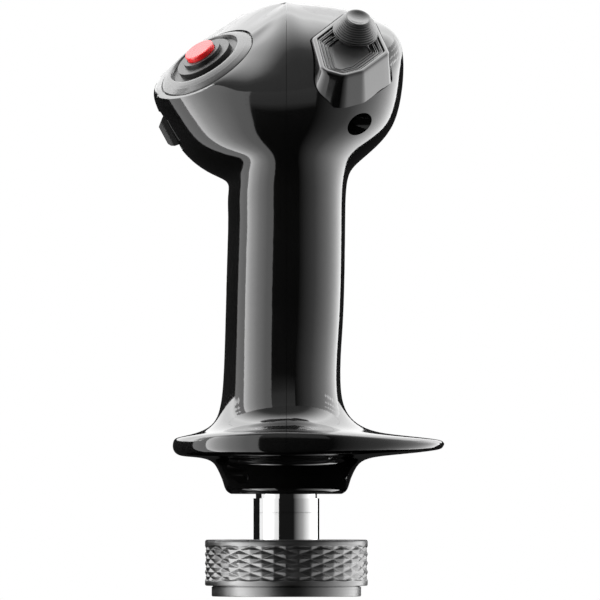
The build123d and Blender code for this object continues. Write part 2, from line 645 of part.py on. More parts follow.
# ---------------------------------------------------------------- electronics inside the head
def control_board():
    """Circuit board on two posts of the left shell, with its header and two chips."""
    board = block(BOARD_X, (-12.0, 20.0), (156.0, 178.0))
    for y, z in BOARD_SCREWS:
        board -= rod_x(1.0, -20, -5, y, z)
    board += block((BOARD_X[1], BOARD_X[1] + 1.2), (2.0, 9.0), (163.0, 170.0))
    board += block((BOARD_X[1], BOARD_X[1] + 3.0), (-3.0, 3.0), (172.5, 176.5))
    return board


def board_screws():
    """Two screws into the posts."""
    return [rod_x(1.0, BOARD_X[0] - 5, BOARD_X[1], y, z)
            + rod_x(1.9, BOARD_X[1], BOARD_X[1] + 1.4, y, z) for y, z in BOARD_SCREWS]


LOOM_Y = -6.0
LOOM_TOP = 160.0


def wiring_loom():
    """Loom from the contacts, up the tube and the neck, to the board."""
    path = FilletPolyline((0, LOOM_Y, 24.0), (0, LOOM_Y, LOOM_TOP),
                          (BOARD_X[1], LOOM_Y, LOOM_TOP), radius=8)
    start = Plane((0, LOOM_Y, 24.0), z_dir=(0, 0, 1))
    return sweep(start * Circle(1.5), path)


# ---------------------------------------------------------------- every node
hollow = cavity()
nodes = {
    "right_shell": shell(1, hollow),
    "left_shell": shell(-1, hollow),
    "mount_tube": mount_tube(),
    "tube_foot": ring_of(FOOT_R, TUBE_R, FOOT_BOTTOM, FOOT_TOP) - rod(1.2, 0, 15.0, 0, KEY_Y),
    "foot_key_pin": rod(1.2, 10.6, 15.0, 0, KEY_Y),
    "connector_socket": connector_socket(),
    "connector_pins": connector_pins(),
    "ring_nut": ring_nut(),
    "ring_o_ring": ring_o_ring(),
    "tube_cross_pin": rod_x(CROSS_PIN_R, -16.8, 16.8, 0, CROSS_PIN_Z),
    "shell_screws": [screw(*row[:5]) for row in SHELL_SCREWS],
    "collar_screws": [screw(*row[:5]) for row in COLLAR_SCREWS],
    "threaded_inserts": [insert(*row[:4]) for row in SHELL_SCREWS + COLLAR_SCREWS],
    "button_bezel": BUTTON_FRAME * button_bezel(),
    "button_collar": BUTTON_FRAME * button_collar(),
    "button_nut": BUTTON_FRAME * ring_of(11.0, BARREL_R, -8.0, -6.05),
    "red_button": BUTTON_FRAME * red_button(),
    "button_clip": BUTTON_FRAME * ring_of(3.2, 2.0, -4.2, -3.6),
    "button_spring": BUTTON_FRAME * coil(3.2, 0.28, WEB_TOP, 5.0, 5),
    "button_switch": BUTTON_FRAME * button_switch(),
    "button_board": BUTTON_FRAME * rod(BARREL_R, BARREL_END - 1.2, BARREL_END),
    "hat_bezel": HAT_FRAME * hat_bezel(),
    "hat_dish": HAT_FRAME * hat_dish(),
    "hat_cap": HAT_FRAME * hat_cap(),
    "hat_stem": HAT_FRAME * hat_stem(),
    "hat_gimbal": HAT_FRAME * hat_gimbal(),
    "hat_base": HAT_FRAME * hat_base(),
    "hat_spring": HAT_FRAME * coil(2.6, 0.25, BASE_TOP, HAT_PIVOT - 2.45, 2.5),
    "hat_screws": [HAT_FRAME * piece for piece in hat_screws()],
    "trigger_housing": TRIGGER_FRAME * trigger_housing(),
    "trigger": TRIGGER_FRAME * trigger(),
    "trigger_pin": TRIGGER_FRAME * rod_y(0.9, -6.7, 6.7, *TRIGGER_PIVOT),
    "trigger_spring": TRIGGER_FRAME * Pos(-3.4, 0, 0) * trigger_spring(),
    "trigger_microswitch": TRIGGER_FRAME * trigger_microswitch(),
    "control_board": control_board(),
    "board_screws": board_screws(),
    "wiring_loom": wiring_loom(),
}
for name, shape in nodes.items():
    if isinstance(shape, list):
        shape = Compound(children=shape)
    export_step(shape, "parts/" + name + ".step")
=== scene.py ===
import json
import math

import bpy
import numpy as np
from mathutils.bvhtree import BVHTree
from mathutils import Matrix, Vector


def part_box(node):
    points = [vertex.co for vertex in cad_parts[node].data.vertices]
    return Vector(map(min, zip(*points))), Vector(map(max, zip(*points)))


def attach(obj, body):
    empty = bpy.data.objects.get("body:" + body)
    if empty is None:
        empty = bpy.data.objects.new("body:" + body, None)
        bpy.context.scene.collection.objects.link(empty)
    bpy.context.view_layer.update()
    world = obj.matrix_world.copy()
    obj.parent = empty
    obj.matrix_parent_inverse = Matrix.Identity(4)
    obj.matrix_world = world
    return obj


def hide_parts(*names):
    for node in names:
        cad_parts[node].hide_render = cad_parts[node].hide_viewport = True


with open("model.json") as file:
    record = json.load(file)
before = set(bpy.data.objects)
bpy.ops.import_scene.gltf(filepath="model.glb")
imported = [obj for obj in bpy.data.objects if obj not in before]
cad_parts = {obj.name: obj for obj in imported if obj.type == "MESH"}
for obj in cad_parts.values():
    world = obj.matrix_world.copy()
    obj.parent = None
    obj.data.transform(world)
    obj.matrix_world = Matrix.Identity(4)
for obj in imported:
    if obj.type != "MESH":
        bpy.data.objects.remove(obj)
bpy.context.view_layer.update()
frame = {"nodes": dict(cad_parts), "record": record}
MM = 0.001

# ------------------------------------------------------------------ node helpers


def plug(tree, owner, sockets):
    """Set a node's inputs, each by a value or by a link from another node's output."""
    for name, value in sockets.items():
        socket = owner.inputs[name.replace("_", " ")]
        if isinstance(value, bpy.types.NodeSocket):
            tree.links.new(value, socket)
        else:
            socket.default_value = value


def shade(value):
    """An opaque grey."""
    return (value, value, value, 1)


def fill_ramp(ramp, stops):
    """Give a colour ramp its (position, colour) stops."""
    while len(ramp.elements) < len(stops):
        ramp.elements.new(0.5)
    for element, (position, colour) in zip(ramp.elements, stops):
        element.position = position
        element.color = colour if isinstance(colour, tuple) else shade(colour)


class Graph:
    """Short calls for a material's node tree."""

    def __init__(self, name):
        self.material = bpy.data.materials.new(name)
        self.material.use_nodes = True
        self.tree = self.material.node_tree
        self.shader = self.tree.nodes["Principled BSDF"]

    def node(self, kind, **sockets):
        """A new node with its inputs set."""
        made = self.tree.nodes.new(kind)
        plug(self.tree, made, sockets)
        return made

    def set(self, **sockets):
        """Set the shader's inputs."""
        plug(self.tree, self.shader, sockets)

    def place(self, scale=(1, 1, 1)):
        """Object coordinates, stretched."""
        coordinate = self.node("ShaderNodeTexCoord").outputs["Object"]
        return self.node("ShaderNodeMapping", Vector=coordinate, Scale=scale).outputs["Vector"]

    def noise(self, vector, scale, detail=3.0, roughness=0.5):
        """Smooth noise, so many features to the metre."""
        made = self.node("ShaderNodeTexNoise", Vector=vector, Scale=scale, Detail=detail,
                         Roughness=roughness)
        return made.outputs["Fac"]

    def spread(self, value, low, high, start=0.3, end=0.7):
        """Map a factor between two numbers."""
        made = self.node("ShaderNodeMapRange", Value=value, From_Min=start, From_Max=end,
                         To_Min=low, To_Max=high)
        return made.outputs["Result"]

    def colours(self, value, *stops):
        """A colour ramp from (position, grey or colour) stops."""
        made = self.node("ShaderNodeValToRGB", Fac=value)
        fill_ramp(made.color_ramp, stops)
        return made.outputs["Color"]

    def bump(self, height, strength, distance):
        """Fine relief, with its height in metres."""
        made = self.node("ShaderNodeBump", Height=height, Strength=strength, Distance=distance)
        self.set(Normal=made.outputs["Normal"])


# ------------------------------------------------------------------ materials


def moulded_gloss():
    """Piano-black moulding: near black, a clear skin, faint haze and a few dust specks."""
    g = Graph("moulded_gloss")
    place = g.place()
    haze = g.noise(place, 38.0, 4.0)
    dust = g.noise(place, 900.0, 2.0)
    tone = g.colours(haze, (0.3, 0.0035), (0.7, 0.0065))
    g.set(Base_Color=tone, Roughness=g.spread(haze, 0.055, 0.085), IOR=1.5, Coat_Weight=0.35,
          Coat_Roughness=0.03)
    g.bump(dust, 0.05, 0.00002)
    return g.material


def turned_metal(name, tone, roughness, lines=2600.0, strength=0.12, contrast=0.12):
    """Metal turned on a lathe: fine rings round the Z axis."""
    g = Graph(name)
    rings = g.noise(g.place((0.02, 0.02, 1.0)), lines, 2.0, 0.6)
    cloud = g.noise(g.place(), 60.0, 3.0)
    low, high = tone * (1 - contrast), tone * (1 + contrast)
    g.set(Base_Color=g.colours(cloud, (0.25, low), (0.75, high)), Metallic=1.0,
          Roughness=g.spread(rings, roughness * 0.85, roughness * 1.2))
    g.bump(rings, strength, 0.00003)
    return g.material


def anodised(name, tone, roughness):
    """Bead-blasted, anodised aluminium: a soft grain with paler wear."""
    g = Graph(name)
    grain = g.noise(g.place(), 3500.0, 2.0)
    cloud = g.noise(g.place(), 45.0, 3.0)
    g.set(Base_Color=g.colours(cloud, (0.3, tone * 0.88), (0.7, tone * 1.14)), Metallic=1.0,
          Roughness=g.spread(grain, roughness - 0.04, roughness + 0.05))
    g.bump(grain, 0.10, 0.00003)
    return g.material


def moulded_matte(name, tone, roughness, grain_scale=2800.0, strength=0.25, metallic=0.0):
    """Spark-eroded plastic, or plated contacts: a fine even texture."""
    g = Graph(name)
    grain = g.noise(g.place(), grain_scale, 3.0, 0.6)
    cloud = g.noise(g.place(), 70.0, 3.0)
    if not isinstance(tone, tuple):
        tone = (tone, tone, tone)
    low = tuple(c * 0.85 for c in tone) + (1,)
    high = tuple(c * 1.18 for c in tone) + (1,)
    g.set(Base_Color=g.colours(cloud, (0.3, low), (0.7, high)),
          Roughness=g.spread(grain, roughness - 0.06, roughness + 0.06), Metallic=metallic)
    g.bump(grain, strength, 0.00005)
    return g.material


MATERIALS = {
    "gloss_black": moulded_gloss(),
    "tube_steel": turned_metal("chromed_tube", 0.50, 0.05, 1800.0, 0.04, 0.04),
    "foot_aluminium": turned_metal("turned_foot", 0.45, 0.30),
    "screw_steel": anodised("blackened_steel", 0.10, 0.35),
    "dark_plastic": moulded_matte("dark_plastic", 0.022, 0.45),
    "contact_brass": moulded_matte("contact_brass", (0.55, 0.36, 0.12), 0.30, metallic=1.0),
    "ring_aluminium": turned_metal("ring_aluminium", 0.17, 0.34, 2200.0, 0.10, 0.08),
    "seal_rubber": moulded_matte("seal_rubber", 0.012, 0.70, 1500.0),
    "satin_grey": moulded_matte("satin_grey", 0.05, 0.24, 3200.0, 0.08),
    "matte_black": moulded_matte("matte_black", 0.010, 0.40),
    "satin_black": moulded_matte("satin_black", 0.018, 0.36, 3000.0, 0.15),
    "button_red": moulded_matte("button_red", (0.62, 0.010, 0.012), 0.24, 2400.0, 0.08),
    "spring_steel": anodised("spring_steel", 0.50, 0.22),
    "board_green": moulded_matte("board_green", (0.01, 0.10, 0.045), 0.40),
    "cable_black": moulded_matte("cable_black", 0.012, 0.55),
}
HAT_GREY = moulded_matte("hat_grey", 0.045, 0.33, 3000.0, 0.10)
KNOB_GREY = moulded_matte("knob_grey", 0.03, 0.17, 3000.0, 0.06)

for part in frame["record"]["subparts"]:
    node = frame["nodes"][part["node"]]
    node.data.materials.clear()
    node.data.materials.append(MATERIALS[part["material_slot"]])


# ------------------------------------------------------------------ mesh helpers


def mesh_object(name, vertices, faces, material):
    """An object from points in metres and faces, in the scene."""
    mesh = bpy.data.meshes.new(name)
    mesh.from_pydata([tuple(v) for v in vertices], [], faces)
    mesh.update()
    mesh.materials.append(material)
    made = bpy.data.objects.new(name, mesh)
    bpy.context.scene.collection.objects.link(made)
    return made


def strips(rings, around, closed):
    """Quads between closed rings of points, the last ring joined to the first if closed."""
    return [(i * around + k, i * around + (k + 1) % around,
             (i + 1) % rings * around + (k + 1) % around, (i + 1) % rings * around + k)
            for i in range(rings if closed else rings - 1) for k in range(around)]


def new_piece(name, vertices, faces, material, body, node, smooth_angle):
    """A visual piece that rides on a body in place of the CAD's node."""
    made = mesh_object(name, vertices, faces, material)
    made.data.shade_smooth()
    made.data.set_sharp_from_angle(angle=math.radians(smooth_angle))
    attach(made, body)
    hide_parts(node)
    return made


# ------------------------------------------------------------------ frames in the part


def local_axes(x_dir, z_dir):
    """Unit axes of a frame with this normal, its x axis as near x_dir as it can be."""
    x_dir = np.array(x_dir, float) / np.linalg.norm(x_dir)
    z_dir = np.array(z_dir, float) / np.linalg.norm(z_dir)
    x_dir = x_dir - z_dir * (x_dir @ z_dir)
    x_dir /= np.linalg.norm(x_dir)
    return np.array([x_dir, np.cross(z_dir, x_dir), z_dir])


# Origin in mm, x direction and normal, as in the part.
BUTTON_FRAME = ((-28.4, -6.5, 191.7), (0.846, 0, 0.533), (-0.49, -0.385, 0.78))
HAT_FRAME = ((24.1, -11.6, 200.0), (0.968, 0.25, 0), (0.16, -0.62, 0.768))


# ------------------------------------------------------------------ knurled ring nut
# All in mm, as in the part.
THREAD_R, THREAD_TOP = 16.92, 9.2
UNDERCUT_R, UNDERCUT_TOP = 17.7, 16.6
TUBE_BORE_R = 12.6
FOOT_R, GROOVE_R = 26.9, 26.45
KNURL_COUNT = 20
KNURL_BOTTOM, KNURL_TOP = 5.6, 18.4
KNURL_PITCH = 3.2
KNURL_DEPTH = 0.62
KNURL_RUN_OUT = 0.5
KNURL_ROWS = 129
COLUMNS_PER_KNURL = 24
CREST_SHARE = 0.86


def knurl_cut(share, z):
    """Depth of the crossed cuts at a share of a turn and a height."""
    across, up = share * KNURL_COUNT, (z - KNURL_BOTTOM) / KNURL_PITCH
    near = min(abs(((across + s * up) % 1.0) - 0.5) for s in (1, -1))
    crest = min(near * 2 / CREST_SHARE, 1.0)
    edge = min(z - KNURL_BOTTOM, KNURL_TOP - z) / KNURL_RUN_OUT
    return KNURL_DEPTH * (1 - crest) * min(max(edge, 0.0), 1.0)


def knurled_ring():
    """The ring nut with its knurl, bore, undercut and thread."""
    low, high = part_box("ring_nut")
    outer = (high.x - low.x) / 2 / MM
    top = high.z / MM
    foot = [(THREAD_R, 0.0), (FOOT_R - 0.4, 0.0), (FOOT_R - 0.12, 0.12), (FOOT_R, 0.4),
            (FOOT_R, 3.45), (GROOVE_R, 3.6), (GROOVE_R, 3.85), (outer - 0.55, 3.85),
            (outer - 0.15, 3.98), (outer, 4.35), (outer, 5.3)]
    start, end = KNURL_BOTTOM - 0.15, KNURL_TOP + 0.15
    knurl = [(outer, start + (end - start) * i / (KNURL_ROWS - 1)) for i in range(KNURL_ROWS)]
    head = [(outer, 18.7), (outer, 19.75), (outer - 0.2, 20.2), (outer - 0.65, top),
            (TUBE_BORE_R + 0.3, top), (TUBE_BORE_R, top - 0.3), (TUBE_BORE_R, UNDERCUT_TOP),
            (UNDERCUT_R, UNDERCUT_TOP), (UNDERCUT_R, THREAD_TOP), (THREAD_R, THREAD_TOP)]
    around = KNURL_COUNT * COLUMNS_PER_KNURL
    profile = foot + knurl + head
    vertices = []
    for radius, z in profile:
        for k in range(around):
            turn = 2 * math.pi * k / around
            r = radius - knurl_cut(k / around, z) if radius == outer else radius
            vertices.append((r * math.sin(turn) * MM, -r * math.cos(turn) * MM, z * MM))
    new_piece("ring_nut_knurled", vertices, strips(len(profile), around, closed=True),
              MATERIALS["ring_aluminium"], "ring_nut", "ring_nut", 24)


knurled_ring()


# ------------------------------------------------------------------ hat switch
# Corners of the surround's rim in the hat's frame, each with its radius, in mm.
HAT_CORNERS = [
    (-16.0, -1.4, 2.6), (-16.3, -20.3, 4.0), (-8.6, -23.9, 4.5), (-0.8, -20.9, 4.5),
    (11.2, -9.9, 3.0), (9.2, 10.4, 3.5), (1.0, 15.1, 4.5),
]
ARC_STEPS, EDGE_STEPS = 10, 3
WELL_R = 6.8
STEM_HOLE_R, STEM_R = 3.6, 1.9
SURROUND_TOP, SURROUND_FOOT = 2.4, -10.0
LEDGE_TOP, LEDGE_FOOT = -1.7, -3.4
TERRACES, TERRACE_RISE, TERRACE_TREAD, TERRACE_EDGE = 3, 0.6, 1.4, 1.93
GROOVE = 0.34
KNOB_RIDGES, STEPS_PER_RIDGE, KNOB_COLUMNS, RIDGE_DEPTH = 8, 12, 96, 0.7
KNOB_BASE_R, KNOB_TOP_R, KNOB_LOW, KNOB_HIGH = 8.17, 4.75, 4.15, 10.1
NECK_R, NECK_FOOT, NECK_TOP = 5.6, 1.3, 3.65


def hat_outline(grow):
    """The rim's outline grown outwards, as a ring of points that match from one size to another."""
    corners = np.array([corner[:2] for corner in HAT_CORNERS])
    after = np.roll(corners, -1, axis=0) - corners
    after /= np.linalg.norm(after, axis=1, keepdims=True)
    before = np.roll(after, 1, axis=0)
    outward = np.stack([after[:, 1], -after[:, 0]], axis=1)
    outward_before = np.roll(outward, 1, axis=0)
    share = 1 + (outward * outward_before).sum(axis=1)
    moved = corners + grow * (outward + outward_before) / share[:, None]
    arcs = []
    for i, (_, _, corner_radius) in enumerate(HAT_CORNERS):
        radius = max(corner_radius + grow, 1.0)
        half = math.acos(np.clip(before[i] @ after[i], -1, 1)) / 2
        start = moved[i] - before[i] * radius * math.tan(half)
        centre = start - outward_before[i] * radius
        first = math.atan2(outward_before[i][1], outward_before[i][0])
        turns = [first + 2 * half * k / ARC_STEPS for k in range(ARC_STEPS + 1)]
        arcs.append([centre + radius * np.array([math.cos(t), math.sin(t)]) for t in turns])
    ring = []
    for arc, following in zip(arcs, arcs[1:] + arcs[:1]):
        ring += arc
        end, start = arc[-1], following[0]
        ring += [end + (start - end) * k / (EDGE_STEPS + 1) for k in range(1, EDGE_STEPS + 1)]
    return np.array(ring)


def stacked(name, rings, node, material, body, smooth_angle):
    """A closed surface through rings of points in the hat's frame, in place of a node."""
    origin, x_dir, z_dir = HAT_FRAME
    vertices = (np.concatenate(rings) @ local_axes(x_dir, z_dir) + np.array(origin)) * MM
    new_piece(name, vertices, strips(len(rings), len(rings[0]), closed=True), material, body,
              node, smooth_angle)


def at_height(outline, height):
    """A flat ring of points as a ring at a height."""
    return np.column_stack([outline, np.full(len(outline), height)])


def ring_at(grow, height):
    """The rim's outline, grown and at a height."""
    return at_height(hat_outline(grow), height)


def circle_at(radius, height):
    """A circle about the hat's axis whose points match the outline's."""
    outline = hat_outline(-6.1)
    return at_height(outline / np.linalg.norm(outline, axis=1, keepdims=True) * radius, height)


def rounded(start, corner, end, steps=5):
    """Points of a soft corner between two sections of a profile."""
    points = []
    for k in range(steps + 1):
        t = k / steps
        points.append(tuple((1 - t)**2 * a + 2 * t * (1 - t) * b + t**2 * c
                            for a, b, c in zip(start, corner, end)))
    return points


def hat_surround():
    """Glossy surround: drafted wall, full rounded rim and an inner lip over a ledge."""
    top = SURROUND_TOP
    profile = [(3.0, SURROUND_FOOT), (1.6, -4.3), (0.55, -0.25)]
    profile += rounded((0.22, 1.1), (-0.1, top), (-0.95, top))
    profile += rounded((-1.35, top), (-1.66, top), (-1.72, top - 0.2), 3)
    profile += [(-1.9, top - 0.5), (-1.9, LEDGE_TOP)]
    rings = [ring_at(grow, height) for grow, height in profile]
    rings += [circle_at(STEM_HOLE_R, LEDGE_TOP), circle_at(STEM_HOLE_R, LEDGE_FOOT),
              ring_at(-2.2, LEDGE_FOOT), ring_at(-2.2, SURROUND_FOOT)]
    stacked("hat_surround", rings, "hat_bezel", MATERIALS["gloss_black"], "grip", 34)


def hat_terraces():
    """Matte dish: three terraces with soft edges, and a fine groove in and below each."""
    edge, top = TERRACE_EDGE, TERRACES * TERRACE_RISE
    profile = [(-edge, LEDGE_TOP), (-edge, top - 0.25)]
    profile += rounded((-edge, top - 0.18), (-edge, top), (-edge - 0.2, top), 3)
    for k in range(1, TERRACES + 1):
        inner = edge + TERRACE_TREAD * k
        top = TERRACE_RISE * (TERRACES + 1 - k)
        foot = TERRACE_RISE * (TERRACES - k)
        profile += [(-inner + 0.78, top), (-inner + 0.70, top - 0.04), (-inner + 0.60, top - GROOVE),
                    (-inner + 0.50, top - GROOVE), (-inner + 0.40, top - 0.04)]
        profile += rounded((-inner + 0.32, top), (-inner, top), (-inner, top - 0.34), 4)
        profile += [(-inner, foot + 0.04)]
        profile += rounded((-inner, foot - 0.06), (-inner - 0.1, foot - 0.16),
                           (-inner - 0.24, foot), 3)
    rings = [ring_at(grow, height) for grow, height in profile]
    for ring in rings:
        inside = np.hypot(ring[:, 0], ring[:, 1]) < WELL_R
        ring[inside, 2] = np.minimum(ring[inside, 2], 0.0)
    rings += [ring_at(-inner - 0.5, 0.0), circle_at(STEM_HOLE_R + 0.3, 0.0),
              circle_at(STEM_HOLE_R, 0.0), circle_at(STEM_HOLE_R, LEDGE_TOP)]
    stacked("hat_terraces", rings, "hat_dish", HAT_GREY, "grip", 40)


def hat_knob():
    """Ridged cone with a dished crown."""
    profile = [(STEM_R, NECK_FOOT), (NECK_R, NECK_FOOT), (NECK_R, NECK_TOP), (7.95, NECK_TOP),
               (8.15, NECK_TOP + 0.1), (8.2, NECK_TOP + 0.3)]
    steps = KNOB_RIDGES * STEPS_PER_RIDGE
    for k in range(steps + 1):
        t = k / steps
        crest = abs(math.sin(math.pi * t * KNOB_RIDGES)) ** 0.9
        profile.append((KNOB_BASE_R + (KNOB_TOP_R - KNOB_BASE_R) * t - RIDGE_DEPTH * (1 - crest),
                        KNOB_LOW + (KNOB_HIGH - KNOB_LOW) * t))
    profile += rounded((4.7, 10.2), (4.65, 10.7), (4.1, 10.7))
    profile += [(3.7, 10.58), (3.0, 10.25), (2.0, 9.94), (1.0, 9.8), (0.02, 9.76), (0.02, 8.6),
                (STEM_R, 8.6)]
    turns = [2 * math.pi * k / KNOB_COLUMNS for k in range(KNOB_COLUMNS)]
    rings = [np.array([(r * math.cos(t), r * math.sin(t), z) for t in turns]) for r, z in profile]
    stacked("hat_knob", rings, "hat_cap", KNOB_GREY, "hat_cap", 50)


hat_surround()
hat_terraces()
hat_knob()


# ------------------------------------------------------------------ glossy shells
# The outer surface again, as in the part: (radius, height) in mm at the back (-Y), right, front
# and left of each level, and the fullness of the four diagonals between them.
ROUND = (1, 1, 1, 1)
LEVELS = [
    # collar cone
    ((20.0, 36.9), (20.0, 36.9), (20.0, 36.9), (20.0, 36.9), ROUND),
    ((21.7, 38.2), (21.7, 38.2), (21.7, 38.2), (21.7, 38.2), ROUND),
    ((23.0, 41.7), (23.0, 41.7), (23.0, 41.7), (23.0, 41.7), ROUND),
    ((24.7, 45.6), (24.7, 45.6), (24.7, 45.6), (24.7, 45.6), ROUND),
    ((26.3, 47.9), (26.5, 48.0), (26.5, 48.0), (26.2, 47.9), ROUND),
    # underside of the hand rest
    ((29.2, 49.5), (30.4, 49.8), (29.6, 49.6), (29.0, 49.4), ROUND),
    ((33.0, 50.4), (41.5, 51.2), (35.5, 50.5), (34.4, 50.2), ROUND),
    # rim of the hand rest
    ((36.9, 51.0), (54.8, 52.9), (41.8, 51.2), (39.2, 51.1), ROUND),
    ((38.0, 52.2), (56.3, 53.8), (43.0, 52.4), (40.5, 52.4), ROUND),
    ((38.3, 55.0), (56.8, 54.8), (43.3, 54.6), (40.9, 54.2), ROUND),
    ((38.0, 58.2), (56.3, 55.7), (43.0, 57.0), (40.4, 56.3), ROUND),
    ((36.9, 59.4), (54.6, 56.4), (41.7, 58.1), (39.0, 57.2), ROUND),
    # top of the hand rest and its fillet into the neck
    ((32.6, 60.7), (42.0, 57.9), (35.8, 59.3), (34.4, 58.3), ROUND),
    ((28.6, 62.4), (31.0, 59.7), (31.4, 61.2), (29.0, 60.3), ROUND),
    ((25.6, 65.3), (24.8, 62.8), (28.4, 64.2), (25.6, 63.4), ROUND),
    ((23.8, 69.5), (21.5, 66.9), (26.8, 69.0), (23.9, 67.9), ROUND),
    # neck
    ((22.7, 76.0), (19.8, 73.0), (25.8, 76.0), (23.0, 74.0), ROUND),
    ((21.9, 86.0), (19.5, 84.0), (25.0, 86.0), (22.4, 84.0), ROUND),
    ((21.6, 101.0), (20.4, 100.0), (24.8, 101.0), (21.9, 100.0), ROUND),
    ((21.6, 120.0), (21.0, 120.0), (25.0, 118.0), (21.4, 119.0), ROUND),
    ((22.0, 138.0), (21.2, 137.0), (25.8, 134.0), (21.0, 136.0), ROUND),
    # underside of the head
    ((23.2, 149.0), (21.5, 146.0), (26.8, 142.0), (21.0, 144.2), ROUND),
    ((25.6, 156.0), (22.8, 152.5), (29.0, 147.6), (21.4, 149.2), ROUND),
    ((28.6, 162.0), (26.5, 157.2), (33.5, 151.6), (27.0, 152.4), ROUND),
    ((30.6, 168.0), (32.2, 162.2), (39.2, 158.0), (34.4, 157.5), ROUND),
    # widest part of the head
    ((30.9, 174.0), (37.8, 169.2), (43.2, 167.5), (40.4, 165.0), ROUND),
    ((29.8, 181.5), (41.0, 180.0), (44.6, 178.0), (46.0, 175.5), ROUND),
    ((26.9, 188.5), (41.8, 191.6), (43.6, 188.0), (46.9, 181.0), ROUND),
    # crown
    ((22.8, 196.0), (39.8, 201.2), (40.3, 197.0), (44.6, 185.0), (0.98, 1, 1.02, 0.95)),
    ((18.0, 202.6), (34.0, 206.6), (34.0, 205.0), (38.3, 189.8), (0.98, 1, 1.06, 0.93)),
    ((12.7, 207.9), (26.0, 210.1), (25.0, 210.3), (29.5, 197.0), (0.98, 1, 1.10, 0.93)),
    ((7.4, 211.5), (15.6, 212.4), (14.0, 212.8), (16.5, 206.0), (0.98, 1, 1.10, 0.95)),
    ((0.0, 213.8), (0.0, 213.8), (0.0, 213.8), (0.0, 213.8), ROUND),
]
FULLNESS_LIFT = 22.0


def second_derivatives(x, y, closed):
    """Second derivatives at the knots of the cubic spline y(x), natural or closed."""
    count = len(x)
    step = np.diff(x)
    matrix = np.zeros((count, count))
    right = np.zeros(y.shape)
    for i in range(1, count - 1):
        matrix[i, i - 1:i + 2] = step[i - 1], 2 * (step[i - 1] + step[i]), step[i]
        right[i] = 6 * ((y[i + 1] - y[i]) / step[i] - (y[i] - y[i - 1]) / step[i - 1])
    if closed:
        matrix[0, 0], matrix[0, 1], matrix[0, -2] = 2 * (step[0] + step[-1]), step[0], step[-1]
        right[0] = 6 * ((y[1] - y[0]) / step[0] - (y[0] - y[-2]) / step[-1])
        matrix[-1, 0], matrix[-1, -1] = 1, -1
    else:
        matrix[0, 0] = matrix[-1, -1] = 1
    return np.linalg.solve(matrix, right.reshape(count, -1)).reshape(y.shape)


def spline(x, y, query, closed=False):
    """The cubic spline through y(x), at each query value, along the first index."""
    curve = second_derivatives(x, y, closed)
    i = np.clip(np.searchsorted(x, query, side="right") - 1, 0, len(x) - 2)
    step = (x[i + 1] - x[i]).reshape((-1,) + (1,) * (y.ndim - 1))
    a = (x[i + 1] - query).reshape(step.shape) / step
    b = 1 - a
    bend = ((a**3 - a) * curve[i] + (b**3 - b) * curve[i + 1]) * step**2 / 6
    return a * y[i] + b * y[i + 1] + bend


def level_points(level):
    """(radius, height) of one level every 45 degrees, from the back round by the right."""
    ring = []
    for i in range(4):
        (r0, z0), (r1, z1) = level[i], level[(i + 1) % 4]
        full = level[4][i]
        ring.append((r0, z0))
        if r0 == 0:
            ring.append((0, z0))
        else:
            lift = FULLNESS_LIFT * max(full - 1, 0)
            ring.append((full * np.sqrt(2 / (r0**-2 + r1**-2)), (z0 + z1) / 2 + lift))
    return ring + ring[:1]


def smooth(value):
    """0 below 0, 1 above 1, and an even curve between."""
    value = np.clip(value, 0, 1)
    return value**3 * (10 - 15 * value + 6 * value**2)


def local(place, points):
    """The points' three coordinates in a frame, and the frame's normal."""
    origin, x_dir, z_dir = place
    axes = local_axes(x_dir, z_dir)
    return np.moveaxis((points - np.array(origin)) @ axes.T, -1, 0), axes[2]


def seat_button(points):
    """Flatten the shoulder on the left into the plane that the round bezel lies in."""
    (u, v, h), normal = local(BUTTON_FRAME, points)
    width = 7.0 + 13.0 * smooth((h + 2.0) / 4.0)
    over = h - 0.6 * smooth(h / 2.0)
    near = 1 - smooth((np.hypot(u, v) - 19.4) / width)
    near = near * smooth((14.0 - points[..., 0]) / 20.0) * (1 - smooth((np.abs(h) - 3.0) / 9.0))
    return points - (near * over)[..., None] * normal


def seat_hat(points):
    """Ease the shoulder on the right down to the rim of the hat's surround."""
    (u, v, h), normal = local(HAT_FRAME, points)
    reach = np.hypot((u + 2.5) / 15.5, (v + 4.0) / 20.5)
    near = 1 - smooth((reach - 0.9) / 1.1)
    near = near * smooth((points[..., 0] + 12.0) / 24.0) * (1 - smooth((np.abs(h) - 6.0) / 12.0))
    over = h - 1.2
    excess = (over + np.sqrt(over**2 + 2.0)) / 2
    return points - (near * excess)[..., None] * normal


def skin_points(heights, azimuths, seated=True):
    """Points of the outer surface, with or without the seats of the button and the hat.

    Heights are in level parameters, azimuths from the back.
    """
    rings = np.array([level_points(level) for level in LEVELS])
    gaps = np.linalg.norm(np.diff(rings[:, :8], axis=0), axis=2).mean(axis=1)
    steps = np.concatenate([[0], np.cumsum(np.sqrt(gaps))])
    profiles = np.moveaxis(spline(steps / steps[-1], rings, heights), 1, 0)
    around = spline(np.linspace(0, 2 * np.pi, 9), profiles, np.mod(azimuths, 2 * np.pi), True)
    radius, height = around[..., 0], around[..., 1]
    turn = azimuths[:, None]
    points = np.stack([radius * np.sin(turn), -radius * np.cos(turn), height], axis=-1)
    return seat_hat(seat_button(points)) if seated else points


SKIN_ROWS, SKIN_COLUMNS = 700, 361
SKIN_END = 0.9985
CROWN_EASE, CROWN_START, CROWN_RUN = 0.35, 186.0, 12.0
SKIN_TOLERANCE = 0.12 * MM
FACING = 0.85
PARTING_HALF = 0.06 * MM


